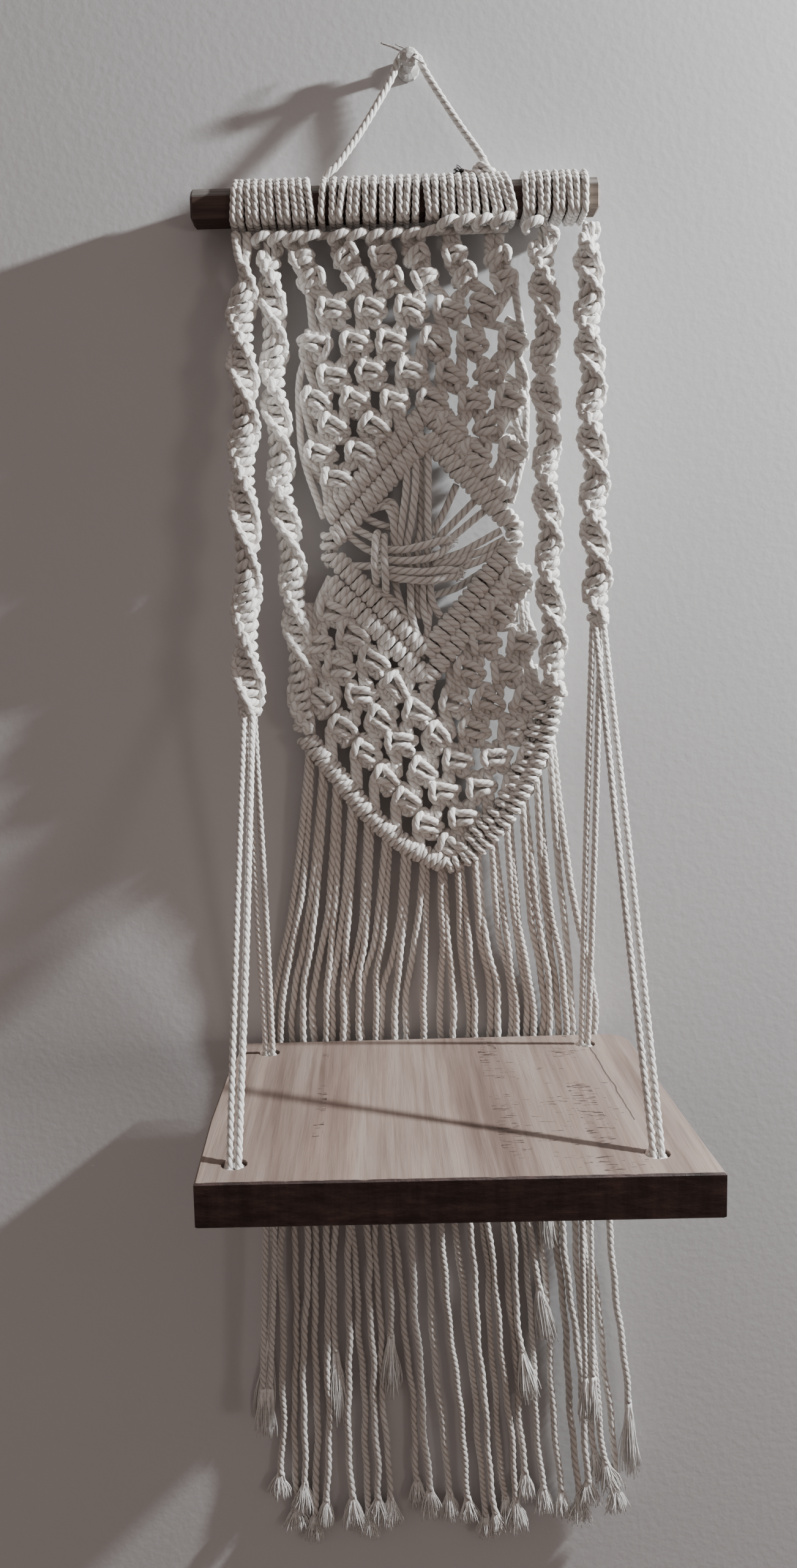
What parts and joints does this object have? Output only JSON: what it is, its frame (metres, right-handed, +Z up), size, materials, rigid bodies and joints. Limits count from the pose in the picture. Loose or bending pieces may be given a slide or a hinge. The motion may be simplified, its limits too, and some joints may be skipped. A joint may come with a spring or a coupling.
{
  "type": "macrame plant hanger with a wooden hanging bar, a wall peg and a rope-hung shelf board",
  "caption": "Knotted cotton panel on a wooden bar, hung by a cord from a wall peg, with spiral bands and ropes that carry a plain shelf board, over a long fringe.",
  "frame": {"origin": "middle of the wall peg's back face, on the wall", "axes": "+Z up, +Y into the wall, -Y to the front, +X to the right seen from the front"},
  "size_m": [0.224, 0.1795, 0.801],
  "materials": {
    "cotton_cord": "matte off-white three-ply cotton cord",
    "bar_wood": "dark stained wood, bare at the waney edge",
    "board_wood": "oiled planed wood with a dark front edge",
    "peg_paint": "wall-painted peg"
  },
  "bodies": {
    "root": {"wall_peg": "peg_paint", "top_bar": "bar_wood", "hanging_cord": "cotton_cord", "bar_wraps_1": "cotton_cord", "bar_wraps_2": "cotton_cord", "bar_wraps_3": "cotton_cord", "bar_wraps_4": "cotton_cord", "bar_wraps_5": "cotton_cord", "sennit_outer_left": "cotton_cord", "sennit_inner_left": "cotton_cord", "sennit_inner_right": "cotton_cord", "sennit_outer_right": "cotton_cord", "macrame_panel": "cotton_cord", "hem_fringe": "cotton_cord", "shelf_board": "board_wood", "rope_front_left": "cotton_cord", "rope_rear_left": "cotton_cord", "rope_front_right": "cotton_cord", "rope_rear_right": "cotton_cord"}
  },
  "joints": []
}
